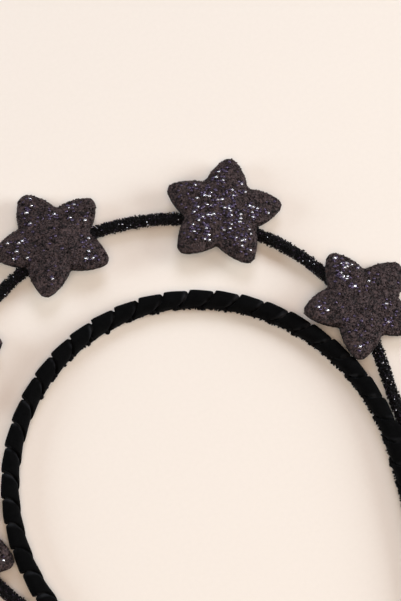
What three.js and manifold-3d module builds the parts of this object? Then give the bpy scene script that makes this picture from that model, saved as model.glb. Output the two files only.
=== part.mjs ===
// A star party crown lying flat: a C-shaped hoop wound in velvet ribbon, a halo of glitter-covered wire
// bound to its two sides, and five padded glitter stars on the wire.
// Millimetres. +Y points from the wearer's chin to the crown's top star, +X across the head, +Z up.
import * as THREE from 'three';
import Module from 'manifold-3d';
import { mergeVertices } from 'three/addons/utils/BufferGeometryUtils.js';

// Clearance between pieces that touch
const GAP = 0.3;

// Hoop: a strip on edge, bent to an ellipse for HOOP_BEND degrees each side of its top, then to a slack arc
const HOOP_HALF_WIDTH = 64.8;
const HOOP_HALF_DEPTH = 68.3;
const HOOP_BEND = 108;
const HOOP_HEIGHT = 3.1;
const LEG_LENGTH = 66;
const LEG_RADIUS = 330;
const RUN_ON = 40;
const STRIP_HALF_THICK = 1.3;
const STRIP_HALF_TALL = 1.8;
const STRIP_CHAMFER = 0.7;
const STRIP_SECTIONS = 50;
const TIP_ROWS = [
  { back: 0, scale: 0.5 },
  { back: 0.5, scale: 0.85 },
  { back: 1.3, scale: 1 },
];

// Ribbon: its turns lie over each other like roof tiles, with a notch at each seam. Its section is squarer
// than an oval, and flat where it rests on the surface
const RIBBON_HALF_WIDE = 2.95;
const RIBBON_HALF_TALL = 3.5;
const RIBBON_SQUARENESS = 0.85;
const RIBBON_SIDES = 14;
const RIBBON_PITCH = 8.604;
const RIBBON_FIRST_SEAM = -2.22;
const RIBBON_SHORT_OF_TIP = 1.6;
const TURN_ROWS = [
  { across: 0, rise: -0.55 },
  { across: 0.09, rise: 0.25 },
  { across: 0.5, rise: 0.15 },
  { across: 0.92, rise: -0.05 },
];

// Halo wire: an elliptical bend set a little to one side, its rise from the hoop's height and its cover.
// It bends for HALO_BEND degrees each side of its top and is down to the hoop's height at HALO_REACH
const HALO_ASIDE = -0.4;
const HALO_CENTRE = 25.7;
const HALO_HALF_WIDTH = 77.3;
const HALO_HALF_DEPTH = 74.4;
const HALO_BEND = 108;
const HALO_REACH = 115;
const HALO_RISE = 0.3;
const HALO_LEAN = 0.5;
const HALO_STEPS = 24;
const COVER_RADIUS = 2;
const WIRE_SIDES = 10;
const SECTIONS_PER_STEP = 2;

// Where wire and hoop meet, by distance along the hoop from its top: how far the wire's line lies out from
// the hoop's line, the radius of its cover as the ribbon squeezes it, and how far the ribbon swells over it
const JOINT_ROWS = [
  { along: 111, out: 5.9, cover: COVER_RADIUS, swell: 0 },
  { along: 116, out: 5.5, cover: COVER_RADIUS, swell: 0 },
  { along: 119.5, out: 5.4, cover: 1.9, swell: 0.2 },
  { along: 123, out: 5, cover: 1.5, swell: 4.5 },
  { along: 129, out: 4.1, cover: 1.1, swell: 3.4 },
  { along: 136, out: 3.5, cover: 0.9, swell: 2.6 },
];
const SWELL_END = 144;

// Stars: five plump arms, a thin wall and a domed face, bedded on the wire by their flat backs
const ARMS = 5;
const NOTCH_RADIUS = 13;
const SHOULDER_OUT = 20;
const SHOULDER_ASIDE = 2.35;
const SIDE_BULGE = 0.8;
const STEPS_PER_CURVE = 3;
const BED_DEPTH = 0.9;
const STAR_ROWS = [
  { scale: 0.965, lift: 0 },
  { scale: 1, lift: 0.6 },
  { scale: 0.99, lift: 1.5 },
  { scale: 0.93, lift: 2.4 },
  { scale: 0.78, lift: 3.2 },
  { scale: 0.45, lift: 3.8 },
];
const STAR_TOP = 4;

// Each star's place round the halo, its centre's distance out from the wire, the turn of its outward arm, and
// its tilt: roll lifts the side nearer the head, pitch the side that comes before it round the halo
const STARS = [
  { name: 'star_1', turn: -88.3, out: 3.35, spin: -13.3, roll: -2, pitch: 1 },
  { name: 'star_2', turn: -40.3, out: 3.2, spin: 2, roll: 4, pitch: -1 },
  { name: 'star_3', turn: 1.2, out: 2.4, spin: 0.7, roll: 5, pitch: 0 },
  { name: 'star_4', turn: 45.1, out: 3.3, spin: 3.8, roll: 3, pitch: 2 },
  { name: 'star_5', turn: 89.1, out: 2.6, spin: 16, roll: 11, pitch: 1.5 },
];

const MATERIALS = {
  hoop: new THREE.MeshStandardMaterial({ color: 0x141416, roughness: 0.45, metalness: 0 }),
  velvet: new THREE.MeshStandardMaterial({ color: 0x09090b, roughness: 0.95, metalness: 0 }),
  wire: new THREE.MeshStandardMaterial({ color: 0x0c0c0e, roughness: 0.4, metalness: 0.3 }),
  star: new THREE.MeshStandardMaterial({ color: 0x40383e, roughness: 0.5, metalness: 0.3 }),
};

const { degToRad, lerp } = THREE.MathUtils;
const UP = new THREE.Vector3(0, 0, 1);
const HALF_DEGREE = 0.5;
const wasm = await Module();
wasm.setup();

// Geometry with shared corners, as a solid that can be cut
function solidOf(geometry) {
  const bare = new THREE.BufferGeometry();
  bare.setAttribute('position', geometry.getAttribute('position'));
  bare.setIndex(geometry.getIndex());
  const merged = mergeVertices(bare);
  const vertProperties = new Float32Array(merged.getAttribute('position').array);
  const triVerts = new Uint32Array(merged.getIndex().array);
  return new wasm.Manifold(new wasm.Mesh({ numProp: 3, vertProperties, triVerts }));
}

function geometryOf(solid) {
  const mesh = solid.getMesh();
  const geometry = new THREE.BufferGeometry();
  geometry.setAttribute('position', new THREE.BufferAttribute(mesh.vertProperties, 3));
  geometry.setIndex(new THREE.BufferAttribute(mesh.triVerts, 1));
  geometry.computeVertexNormals();
  return geometry;
}

function indexed(points, faces) {
  const geometry = new THREE.BufferGeometry().setFromPoints(points);
  geometry.setIndex(faces.flat());
  geometry.computeVertexNormals();
  return geometry;
}

// A closed skin over rings of equal count, each ring anticlockwise as seen from the last ring, with fan caps
function loft(rings) {
  const count = rings[0].length;
  const points = rings.flat();
  const faces = [];
  for (let i = 0; i + 1 < rings.length; i += 1) {
    for (let j = 0; j < count; j += 1) {
      const here = i * count + j;
      const next = i * count + (j + 1) % count;
      faces.push([here, next, next + count], [here, next + count, here + count]);
    }
  }
  const last = points.length - count;
  const firstMiddle = points.push(middle(rings[0])) - 1;
  const lastMiddle = points.push(middle(rings.at(-1))) - 1;
  for (let j = 0; j < count; j += 1) {
    const next = (j + 1) % count;
    faces.push([firstMiddle, next, j], [lastMiddle, last + j, last + next]);
  }
  return indexed(points, faces);
}

function middle(ring) {
  const sum = ring.reduce((total, point) => total.add(point), new THREE.Vector3());
  return sum.divideScalar(ring.length);
}

// A column of a table at a place along it, straight between rows and level past the ends
function columnAt(rows, key, column, place) {
  const after = rows.findIndex((row) => row[key] >= place);
  if (after === 0) return rows[0][column];
  if (after < 0) return rows.at(-1)[column];
  const low = rows[after - 1];
  const high = rows[after];
  return lerp(low[column], high[column], (place - low[key]) / (high[key] - low[key]));
}

// The hoop's line in plan, run on past both tips so that the winding can be trimmed there
const bendEnd = new THREE.Vector2(
  HOOP_HALF_WIDTH * Math.sin(degToRad(HOOP_BEND)),
  HOOP_HALF_DEPTH * Math.cos(degToRad(HOOP_BEND)),
);
const legDirection = new THREE.Vector2(
  HOOP_HALF_WIDTH * Math.cos(degToRad(HOOP_BEND)),
  -HOOP_HALF_DEPTH * Math.sin(degToRad(HOOP_BEND)),
).normalize();
const legInward = new THREE.Vector2(legDirection.y, -legDirection.x);
const legMiddle = bendEnd.clone().addScaledVector(legInward, LEG_RADIUS);
const legStart = Math.atan2(-legInward.y, -legInward.x);
const legEnd = legStart - (LEG_LENGTH + RUN_ON) / LEG_RADIUS;
const hoopLine = new THREE.Path();
hoopLine.absarc(-legMiddle.x, legMiddle.y, LEG_RADIUS, Math.PI - legEnd, Math.PI - legStart, true);
hoopLine.absellipse(
  0, 0, HOOP_HALF_WIDTH, HOOP_HALF_DEPTH, degToRad(90 + HOOP_BEND), degToRad(90 - HOOP_BEND), true,
);
hoopLine.absarc(legMiddle.x, legMiddle.y, LEG_RADIUS, legStart, legEnd, true);
const lineLength = hoopLine.getLength();
const hoopHalfLength = lineLength / 2 - RUN_ON;

// The place on the hoop a distance along from its top, with the directions along the hoop and out of it
function hoopStation(along) {
  const part = 0.5 + along / lineLength;
  const point = hoopLine.getPoint(part);
  const tangent = hoopLine.getTangent(part);
  return {
    point: new THREE.Vector3(point.x, point.y, HOOP_HEIGHT),
    ahead: new THREE.Vector3(tangent.x, tangent.y, 0),
    outward: new THREE.Vector3(-tangent.y, tangent.x, 0),
  };
}

function besideHoop(along, out, up) {
  const station = hoopStation(along);
  return station.point.addScaledVector(station.outward, out).addScaledVector(UP, up);
}

// The strip's chamfered section at a station; grow widens it all round
function stripRing(along, scale, grow) {
  const thick = STRIP_HALF_THICK + grow;
  const tall = STRIP_HALF_TALL + grow;
  const corners = [
    [thick, tall - STRIP_CHAMFER],
    [thick - STRIP_CHAMFER, tall],
    [STRIP_CHAMFER - thick, tall],
    [-thick, tall - STRIP_CHAMFER],
    [-thick, STRIP_CHAMFER - tall],
    [STRIP_CHAMFER - thick, -tall],
    [thick - STRIP_CHAMFER, -tall],
    [thick, STRIP_CHAMFER - tall],
  ];
  return corners.map(([out, up]) => besideHoop(along, out * scale, up * scale));
}

function stripRings(halfLength, grow) {
  const rings = [];
  for (let i = 0; i < STRIP_SECTIONS; i += 1) {
    const along = lerp(-halfLength, halfLength, i / (STRIP_SECTIONS - 1));
    rings.push(stripRing(along, 1, grow));
  }
  return rings;
}

function hoopGeometry() {
  const body = hoopHalfLength - TIP_ROWS.at(-1).back;
  const rounding = TIP_ROWS.slice(0, -1);
  const first = rounding.map((row) => stripRing(row.back - hoopHalfLength, row.scale, 0));
  const last = rounding.map((row) => stripRing(hoopHalfLength - row.back, row.scale, 0)).reverse();
  return loft([...first, ...stripRings(body, 0), ...last]);
}

// How far the ribbon swells over the wire, on either side of the crown
function swellAt(along) {
  const rows = [...JOINT_ROWS, { along: SWELL_END, swell: 0 }];
  return columnAt(rows, 'along', 'swell', Math.abs(along));
}

// A point on the wound ribbon: seam counts turns along the helix, angle goes from the outer side over the top
function ribbonPoint(seam, angle, rise) {
  const along = RIBBON_FIRST_SEAM + RIBBON_PITCH * (seam - angle / (2 * Math.PI));
  const swell = Math.cos(angle) > 0 ? swellAt(along) : 0;
  const bend = (value) => Math.sign(value) * Math.abs(value) ** RIBBON_SQUARENESS;
  const out = (RIBBON_HALF_WIDE + rise + swell) * bend(Math.cos(angle));
  const up = (RIBBON_HALF_TALL + rise) * bend(Math.sin(angle));
  return besideHoop(along, out, Math.max(up, -HOOP_HEIGHT));
}

// The winding is one helical skin: after a whole turn round the hoop a row meets the row one pitch back
function windingGeometry() {
  const turns = Math.ceil(hoopHalfLength / RIBBON_PITCH) + 1;
  const rowsPerTurn = TURN_ROWS.length;
  const points = [];
  for (let turn = -turns; turn < turns; turn += 1) {
    for (const row of TURN_ROWS) {
      for (let side = 0; side < RIBBON_SIDES; side += 1) {
        points.push(ribbonPoint(turn + row.across, (side * 2 * Math.PI) / RIBBON_SIDES, row.rise));
      }
    }
  }
  const rows = points.length / RIBBON_SIDES;
  const corner = (row, side) => (side < RIBBON_SIDES
    ? row * RIBBON_SIDES + side
    : (row - rowsPerTurn) * RIBBON_SIDES);
  const faces = [];
  for (let row = 0; row + 1 < rows; row += 1) {
    for (let side = 0; side < RIBBON_SIDES; side += 1) {
      if (side + 1 === RIBBON_SIDES && row < rowsPerTurn) continue;
      const here = corner(row, side);
      const beside = corner(row, side + 1);
      const aheadHere = corner(row + 1, side);
      const aheadBeside = corner(row + 1, side + 1);
      faces.push([here, beside, aheadBeside], [here, aheadBeside, aheadHere]);
    }
  }
  const firstEdge = [];
  const lastEdge = [];
  for (let side = 0; side < RIBBON_SIDES; side += 1) {
    firstEdge.push(corner(0, side));
    lastEdge.push(corner(rows - 1, RIBBON_SIDES - 1 - side));
  }
  for (let row = 1; row <= rowsPerTurn; row += 1) {
    firstEdge.push(corner(row, RIBBON_SIDES - 1));
    lastEdge.push(corner(rows - 1 - row, 0));
  }
  for (const edge of [firstEdge, lastEdge]) {
    const hub = points.push(middle(edge.map((index) => points[index]))) - 1;
    edge.forEach((index, i) => faces.push([hub, edge[(i + 1) % edge.length], index]));
  }
  return indexed(points, faces);
}

// The waste beyond one end of the winding
function trimGeometry(side) {
  const waste = 2 * RUN_ON;
  const station = hoopStation(side * (hoopHalfLength - RIBBON_SHORT_OF_TIP));
  const geometry = new THREE.BoxGeometry(waste, waste, waste);
  geometry.rotateZ(Math.atan2(station.ahead.y, station.ahead.x));
  const centre = station.point.addScaledVector(station.ahead, (side * waste) / 2);
  return geometry.translate(centre.x, centre.y, centre.z);
}

// The wire's line: over the halo's bend, then along the hoop and in under the ribbon on both sides
function haloPoint(turn) {
  const angle = degToRad(turn);
  const rise = HALO_RISE * Math.cos((angle * 90) / HALO_REACH) ** 2;
  const lean = HALO_LEAN * Math.sin((angle * 180) / HALO_REACH);
  return new THREE.Vector3(
    HALO_ASIDE + HALO_HALF_WIDTH * Math.sin(angle),
    HALO_CENTRE + HALO_HALF_DEPTH * Math.cos(angle),
    HOOP_HEIGHT + rise + lean,
  );
}

function wireRows() {
  const joint = (side) => JOINT_ROWS.map((row) => ({
    point: besideHoop(side * row.along, row.out, 0),
    cover: row.cover,
  }));
  const halo = [];
  for (let i = 0; i <= HALO_STEPS; i += 1) {
    const turn = lerp(-HALO_BEND, HALO_BEND, i / HALO_STEPS);
    halo.push({ point: haloPoint(turn), cover: COVER_RADIUS });
  }
  return [...joint(-1).reverse(), ...halo, ...joint(1)];
}

function wireGeometry(grow) {
  const rows = wireRows();
  const curve = new THREE.CatmullRomCurve3(rows.map((row) => row.point));
  const steps = (rows.length - 1) * SECTIONS_PER_STEP;
  const rings = [];
  for (let i = 0; i <= steps; i += 1) {
    const low = Math.min(Math.floor(i / SECTIONS_PER_STEP), rows.length - 2);
    const cover = lerp(rows[low].cover, rows[low + 1].cover, i / SECTIONS_PER_STEP - low);
    const centre = curve.getPoint(i / steps);
    const ahead = curve.getTangent(i / steps);
    if (i === 0) centre.addScaledVector(ahead, -grow);
    if (i === steps) centre.addScaledVector(ahead, grow);
    const beside = new THREE.Vector3().crossVectors(UP, ahead).normalize();
    const above = new THREE.Vector3().crossVectors(ahead, beside);
    const ring = [];
    for (let side = 0; side < WIRE_SIDES; side += 1) {
      const angle = (side * 2 * Math.PI) / WIRE_SIDES;
      const point = centre.clone().addScaledVector(beside, (cover + grow) * Math.cos(angle));
      ring.push(point.addScaledVector(above, (cover + grow) * Math.sin(angle)));
    }
    rings.push(ring);
  }
  return loft(rings);
}

// A star's outline: bulging sides from notch to shoulder and a round tip between the shoulders
function starOutline() {
  const half = Math.PI / ARMS;
  const notch = new THREE.Vector2(NOTCH_RADIUS * Math.cos(half), NOTCH_RADIUS * Math.sin(half));
  const shoulder = new THREE.Vector2(SHOULDER_OUT, SHOULDER_ASIDE);
  const side = shoulder.clone().sub(notch);
  const outward = new THREE.Vector2(-side.y, side.x).normalize();
  const bulge = notch.clone().add(shoulder).divideScalar(2).addScaledVector(outward, 2 * SIDE_BULGE);
  const tip = SHOULDER_OUT + (SHOULDER_ASIDE * (shoulder.x - bulge.x)) / (bulge.y - shoulder.y);
  const shape = new THREE.Shape();
  for (let arm = 0; arm < ARMS; arm += 1) {
    const turned = (x, y) => new THREE.Vector2(x, y).rotateAround(new THREE.Vector2(), 2 * half * arm);
    const start = turned(notch.x, -notch.y);
    const bends = [turned(bulge.x, -bulge.y), turned(tip, 0), turned(bulge.x, bulge.y)];
    const ends = [turned(shoulder.x, -shoulder.y), turned(shoulder.x, shoulder.y), turned(notch.x, notch.y)];
    if (arm === 0) shape.moveTo(start.x, start.y);
    bends.forEach((bend, i) => shape.quadraticCurveTo(bend.x, bend.y, ends[i].x, ends[i].y));
  }
  return shape.getPoints(STEPS_PER_CURVE).slice(0, -1);
}

// The star is domed by shrinking its outline as it rises, and closes at a low peak
function starGeometry() {
  const outline = starOutline();
  const rings = STAR_ROWS.map((row) => outline.map(
    (point) => new THREE.Vector3(point.x * row.scale, point.y * row.scale, row.lift),
  ));
  const geometry = loft(rings);
  const positions = geometry.getAttribute('position');
  positions.setZ(positions.count - 1, STAR_TOP);
  return geometry;
}

// A star's seat: X runs out from the halo, Y along it, with the flat back a bed's depth into the wire's cover
function placeStar(row) {
  const seat = new THREE.Group();
  const along = haloPoint(row.turn - HALF_DEGREE).sub(haloPoint(row.turn + HALF_DEGREE));
  const heading = Math.atan2(-along.x, along.y);
  const wire = haloPoint(row.turn);
  seat.position.set(wire.x, wire.y, wire.z + COVER_RADIUS - BED_DEPTH);
  seat.rotation.set(degToRad(row.pitch), degToRad(row.roll), heading, 'ZYX');
  return seat;
}

function addStar(crown, row, wireRoom) {
  const seat = placeStar(row);
  const star = new THREE.Mesh(starGeometry(), MATERIALS.star);
  star.name = row.name;
  star.position.x = row.out;
  star.rotation.z = degToRad(row.spin);
  seat.add(star);
  crown.add(seat);
  seat.updateMatrixWorld(true);
  const room = wireRoom.clone().applyMatrix4(star.matrixWorld.clone().invert());
  star.geometry = geometryOf(solidOf(star.geometry).subtract(solidOf(room)));
}

function addPiece(crown, name, geometry, material) {
  const mesh = new THREE.Mesh(geometry, material);
  mesh.name = name;
  crown.add(mesh);
}

function buildCrown() {
  const crown = new THREE.Group();
  const wireRoom = wireGeometry(GAP);
  const bore = solidOf(loft(stripRings(hoopHalfLength, GAP)));
  const ribbon = solidOf(windingGeometry())
    .subtract(solidOf(trimGeometry(-1)))
    .subtract(solidOf(trimGeometry(1)))
    .subtract(bore)
    .subtract(solidOf(wireRoom));
  addPiece(crown, 'hoop', hoopGeometry(), MATERIALS.hoop);
  addPiece(crown, 'ribbon_wrap', geometryOf(ribbon), MATERIALS.velvet);
  addPiece(crown, 'glitter_wire', wireGeometry(0), MATERIALS.wire);
  STARS.forEach((row) => addStar(crown, row, wireRoom));
  const box = new THREE.Box3().setFromObject(crown, true);
  const centre = box.getCenter(new THREE.Vector3());
  crown.position.set(-centre.x, -centre.y, -box.min.z);
  return crown;
}

export default buildCrown();
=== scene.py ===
"""A star party crown lying flat on pale paper: a hoop wound in black velvet ribbon, a halo of glitter wire,
and five padded glitter stars. Sizes are in millimetres and angles in degrees, and are turned into Blender's
units where they are used."""
import math

import bpy
import numpy as np
from mathutils import Euler, Matrix, Vector


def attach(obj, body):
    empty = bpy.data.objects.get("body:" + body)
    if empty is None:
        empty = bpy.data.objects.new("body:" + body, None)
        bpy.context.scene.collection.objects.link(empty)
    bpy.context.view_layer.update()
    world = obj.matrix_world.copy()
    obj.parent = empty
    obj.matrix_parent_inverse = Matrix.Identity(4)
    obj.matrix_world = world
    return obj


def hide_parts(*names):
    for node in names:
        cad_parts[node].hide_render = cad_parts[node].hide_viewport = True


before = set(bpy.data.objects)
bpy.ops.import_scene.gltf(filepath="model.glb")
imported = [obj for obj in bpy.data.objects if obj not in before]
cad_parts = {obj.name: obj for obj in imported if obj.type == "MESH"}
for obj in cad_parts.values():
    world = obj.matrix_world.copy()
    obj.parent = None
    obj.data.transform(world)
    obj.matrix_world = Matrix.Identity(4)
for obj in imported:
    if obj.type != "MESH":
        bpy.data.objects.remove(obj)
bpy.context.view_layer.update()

MM = 0.001
FULL_TURN = 2 * math.pi
# Keeps a divisor clear of zero
TINY = 1e-12
# The middle of the hoop's ellipse in the shared frame
CROWN_CENTRE = np.array([0.969, -20.765, 0.0])
# Half the length over which a line's direction is taken
TANGENT_STEP = 0.2

# Hoop: part of an ellipse that runs on into two slightly bowed legs
HOOP_HALF_WIDTH = 64.8
HOOP_HALF_DEPTH = 68.3
HOOP_BEND = 108
HOOP_HEIGHT = 3.1
LEG_LENGTH = 66
LEG_RADIUS = 330
# How far the hoop's line is drawn past both tips, for the turns that are trimmed off there
RUN_ON = 60
BEND_STEPS = 721
LEG_STEPS = 200

# Ribbon
RIBBON_HALF_WIDE = 2.95
RIBBON_HALF_TALL = 3.5
RIBBON_SQUARENESS = 0.85
RIBBON_PITCH = 8.604
RIBBON_FIRST_SEAM = -2.22
RIBBON_SHORT_OF_TIP = 1.6
RIBBON_THICK = 0.35
RIBBON_STEPS_PER_TURN = 40
RIBBON_SPARE_TURNS = 2
RIBBON_CREASE = 50
# Length of one turn, for the ribbon's UV map
RIBBON_TURN_LENGTH = 21.3
# How much of the seam's slant is taken out where it crosses the outer side of the hoop
SEAM_SQUARE = 0.85
# How far the seams stray along the hoop, over how many pitches
SEAM_WANDER = 0.12
SEAM_WANDER_WAVE = 1.7
SEAM_WANDER_SEED = 11
# How far the edge that shows lifts and dips, how far in that reaches in pitches, and how often in a turn
EDGE_LIFT = 0.1
EDGE_LIFT_REACH = 0.3
EDGE_LIFT_WAVES = 2.3
EDGE_LIFT_SEED = 12
# Across the ribbon in pitches from the edge that shows: how high its face lies, and how far off the floor it
# lies beneath
RIBBON_ROWS = (
    (0.000, -0.80, 0.12), (0.005, -0.46, 0.08), (0.012, -0.12, 0.05), (0.022, 0.08, 0.03),
    (0.042, 0.18, 0.02), (0.160, 0.21, 0.02), (0.320, 0.15, 0.02), (0.500, 0.05, 0.02),
    (0.680, -0.04, 0.02), (0.800, -0.10, 0.02), (0.870, -0.19, 0.05), (0.905, -0.42, 0.16),
    (0.932, -0.76, 0.34), (0.958, -1.03, 0.50), (0.990, -1.16, 0.58), (1.050, -1.20, 0.60),
    (1.280, -1.20, 0.60),
)
# The last stretch before each tip, where the ribbon closes in on the hoop
TIP_TAPER = 5.0
TIP_HUG_WIDE = 0.25
TIP_HUG_TALL = 0.3

# Tufts of cut pile on the inner side of the hoop
TUFT_SEED = 21
TUFT_CHIP = {"sides": 5, "narrow": 0.8, "root": 1.1, "foot": 0.6, "top": 0.42}
TUFT_TALL = 0.9
TUFT_LEAN = 16
TUFT_ROOT_RISE = 0.1
TUFTS_SHORT_OF_RIBBON = 1
# Mean and spread of how far below the hoop's middle a tuft stands, and the most that it may be, in radians
TUFT_DROOP = (0.12, 0.22)
TUFT_DROOP_MOST = 0.4
# The tufts at the seams' ends: how many at each, from where on, mean and spread of their shift in pitches,
# least and most width, least and most stand-out
TUFTS_PER_SEAM = 3
SEAM_TUFTS_FROM = -35
SEAM_TUFT_SHIFT = (-0.08, 0.1)
SEAM_TUFT_WIDE = (1.2, 1.8)
SEAM_TUFT_STAND = (0.2, 0.6)
# The close rows, over the top and down the right leg: from, to, gap between tufts, width, stand-out
TUFT_STRETCHES = (
    (-30, 30, 2.4, 1.0, 0.25),
    (30, 190, 0.65, 0.75, 0.38),
)
TUFT_GAP_VARY = (-0.4, 0.4)
TUFT_WIDE_VARY = (0.8, 1.25)
TUFT_STAND_VARY = (0.2, 1.6)

# Wire
HALO_ASIDE = -0.4
HALO_CENTRE = 25.7
HALO_HALF_WIDTH = 77.3
HALO_HALF_DEPTH = 74.4
HALO_BEND = 108
HALO_REACH = 115
HALO_RISE = 0.3
HALO_LEAN = 0.5
HALO_STEPS = 24
COVER_RADIUS = 2.0
# Distance along the hoop from its top, the wire's distance out of the hoop, the cover's radius, and how far
# the ribbon swells there
JOINT_ROWS = (
    (111, 5.9, 2.0, 0.0), (116, 5.5, 2.0, 0.0), (119.5, 5.4, 1.9, 0.2),
    (123, 5.0, 1.5, 4.5), (129, 4.1, 1.1, 3.4), (136, 3.5, 0.9, 2.6),
)
SWELL_END = 144
WIRE_STEPS = 10
WIRE_BEVEL = 3
WIRE_MERGE = 0.01
# Size and depth of the bed's lumps, and how far the bed lies inside the cover
WIRE_LUMPS = (0.9, 0.35)
FLAKE_BED = 0.45
# Slivers on the wire's bed: those that would reach the floor are left out, and so are those under the ribbon
SLIVER_SEED = 31
SLIVER_CHIP = {"sides": 4, "narrow": 0.6, "root": 0.7}
WIRE_FLAKES = 15000
FLAKES_FROM_COVER = 1.7
FLOOR_CLEAR = 0.8
WIRE_LEAN = 48
SLIVER_SIZE = (0.45, 0.9)
SLIVER_STAND = (0.2, 0.62)
SLIVER_TALL = 1.0
# The lightest tone of the slivers that aren't bright
SLIVER_TONES = 0.98
# The share of slivers that stray further out, and by how much
STRAY_SHARE = 0.4
STRAY_STAND = 0.2
# The share of slivers that are bright, and how far up the wire's side they begin
WIRE_SPARKLES = 0.014
WIRE_SPARKLES_FROM = 0.5

# Stars
ARMS = 5
NOTCH_RADIUS = 13
SHOULDER_OUT = 20
SHOULDER_ASIDE = 2.35
SIDE_BULGE = 0.8
STEPS_PER_CURVE = 4
# Share of the outline at each height of the pad
STAR_ROWS = ((0.965, 0.0), (1.0, 0.6), (0.99, 1.5), (0.93, 2.4), (0.78, 3.2), (0.45, 3.8))
# Name, place round the halo, centre's distance out, turn of the outward arm, roll, pitch
STARS = (
    ("star_1", -88.3, 3.35, -13.3, -2, 1),
    ("star_2", -40.3, 3.2, 2, 4, -1),
    ("star_3", 1.2, 2.4, 0.7, 5, 0),
    ("star_4", 45.1, 3.3, 3.8, 3, 2),
    ("star_5", 89.1, 2.6, 16, 11, 1.5),
)
# Half the turn over which the wire's direction is taken at a star
SEAT_STEP = 0.5
# How deep the wire lies in a star's back, the room round it, and how high in the pad that room may reach
BED_DEPTH = 0.9
BED_ROOM = 0.25
BED_BELOW = 2
# The pattern is made and stuffed at this many metres to the millimetre, where the cloth behaves well
PAD_SCALE = 0.02
# How much larger the pad's outline is than the bare star's
PAD_GROW = 1.022
PAD_VOXEL = 0.8
PAD_SWELL = 0.3
STUFFING_PRESSURE = 4
STUFFING_STEPS = 20
# Size and depth of the lumps and the crumbs on a star's face
STAR_LUMPS = (2.8, 0.6)
STAR_CRUMBS = (1.2, 0.6)
# How far a pad's surface faces up where the lumps, the bare wall with its painted shade and the glitter
# start, and over what fade
FACE_FROM = 0.35
FACE_FADE = 0.35
WALL_FROM = 0.5
WALL_FADE = 0.35
GLITTER_FROM = 0.3

# Glitter on the stars
GLITTER_SEED = 41
FLAKE_CHIP = {"sides": 5, "narrow": 0.9, "root": 0.7}
SMALL_FLAKES = 1500
CLUMPS = 420
CLUMP_SHARE = 0.4
SHADE_BIAS = 1.3
VIOLET_PER_SPARKLE = 5
VIOLET_NEAR = 1.8
VIOLET_LOOSE = 0.12
# Bright flakes look this way, lean this far off it, lie where the face is this level, keep this far from the
# outline, and have this small chance outside their patch
SPARKLE_TOWARD = (-0.19, -0.30, 0.93)
SPARKLE_LEAN = 7
SPARKLE_FLAT = 0.8
SPARKLE_INSET = 2.2
SPARKLE_LOOSE = 0.02
# Dark, violet and bright flakes: least and most size, least and most lift, lean, height, and tone, which is
# the lightest one for dark flakes
FLAKE_KINDS = (
    (0.5, 1.0, 0.00, 0.20, 20, 0.6, 0.86),
    (0.9, 1.4, 0.15, 0.30, 11, 0.9, 0.89),
    (1.1, 1.6, 0.32, 0.45, SPARKLE_LEAN, 1.1, 0.97),
)
# Bright flakes of each star: how many, the middle and reach of the patch that they gather in, and how far
# they keep to the arms
SPARKLES = {
    "star_1": (24, 0, 0, 14, 0.5),
    "star_2": (24, 0, 0, 14, 0.5),
    "star_3": (20, 0, 0, 18, 1.0),
    "star_4": (54, -1, -3, 13, 0.05),
    "star_5": (22, 4, 14, 3.4, 0.02),
}

# Finishes
# How much the patches count beside the grain, and the middle of both together
PATCH_SHARE = 0.6
MOTTLE_MIDDLE = (PATCH_SHARE + 1) / 2
CHIP_ROUGH = 0.5
CHIP_GLOSS = 0.15
# Across the ribbon in pitches: where the pressed pile's painted sheen starts and where it is full
PRESSED_SHEEN_FROM = 0.74
PRESSED_SHEEN_FULL = 0.94
# Size and break-up of the patches of painted sheen on the pressed pile, and its grey, which is a painted
# highlight
PRESSED_SHEEN_PATCH = 240
PRESSED_SHEEN_BREAK = (0.42, 0.68)
PRESSED_PILE_SHEEN = (0.026, 0.027, 0.030)
# Painted shade on the stars' side walls
WALL_SHADE_GREY = (0.010, 0.010, 0.010)

# Stage: the floor and the lamps' distance in metres
FLOOR_SIZE = 4.0
FLOOR_PARTS = 8
CAMERA_AIM = (35.20, 38.04, 0)
CAMERA_PLACE = (-109.96, -193.91, 751.75)
CAMERA_LENS = 138.9
CAMERA_SENSOR = 36
ROOM_LIGHT = 0.02
BACKDROP = (0.86, 0.80, 0.74)
LAMP_DISTANCE = 1.8
# Name, bearing, elevation, size, and how much red, green and blue light it lays on the floor
LAMPS = (
    ("key", 2, 22, 1.0, (0.262, 0.288, 0.302)),
    ("right", 22, 48, 1.0, (0.080, 0.066, 0.061)),
    ("back", 84, 47, 1.0, (0.182, 0.196, 0.232)),
    ("left", 182, 23, 1.0, (0.116, 0.140, 0.157)),
    ("overhead", -90, 68, 1.3, (0.440, 0.343, 0.264)),
    ("glint", -90, 68, 0.28, (0.045, 0.045, 0.047)),
)


# Tools

def only(obj):
    bpy.ops.object.select_all(action="DESELECT")
    obj.select_set(True)
    bpy.context.view_layer.objects.active = obj


def edit(obj, select="SELECT"):
    only(obj)
    bpy.ops.object.mode_set(mode="EDIT")
    bpy.ops.mesh.select_all(action=select)


def done():
    bpy.ops.object.mode_set(mode="OBJECT")


def apply_modifiers(obj):
    only(obj)
    for modifier in list(obj.modifiers):
        bpy.ops.object.modifier_apply(modifier=modifier.name)


def points_of(obj):
    flat = np.empty(len(obj.data.vertices) * 3, np.float32)
    obj.data.vertices.foreach_get("co", flat)
    return flat.reshape(-1, 3).astype(float)


def set_points(obj, points):
    obj.data.vertices.foreach_set("co", np.asarray(points, np.float32).ravel())
    obj.data.update()


def copy_of(obj, name):
    copy = obj.copy()
    copy.data = obj.data.copy()
    copy.name = name
    copy.data.name = name
    bpy.context.scene.collection.objects.link(copy)
    return copy


def lumps(obj, name, size, strength, where=""):
    """Pushes the surface, or one group of its points, in and out by a soft noise of this size."""
    texture = bpy.data.textures.new(name, "CLOUDS")
    texture.noise_scale = size * MM
    texture.noise_depth = 2
    push = obj.modifiers.new(name, "DISPLACE")
    push.texture = texture
    push.texture_coords = "LOCAL"
    push.strength = strength * MM
    push.mid_level = 0.5
    push.vertex_group = where
    apply_modifiers(obj)


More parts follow.
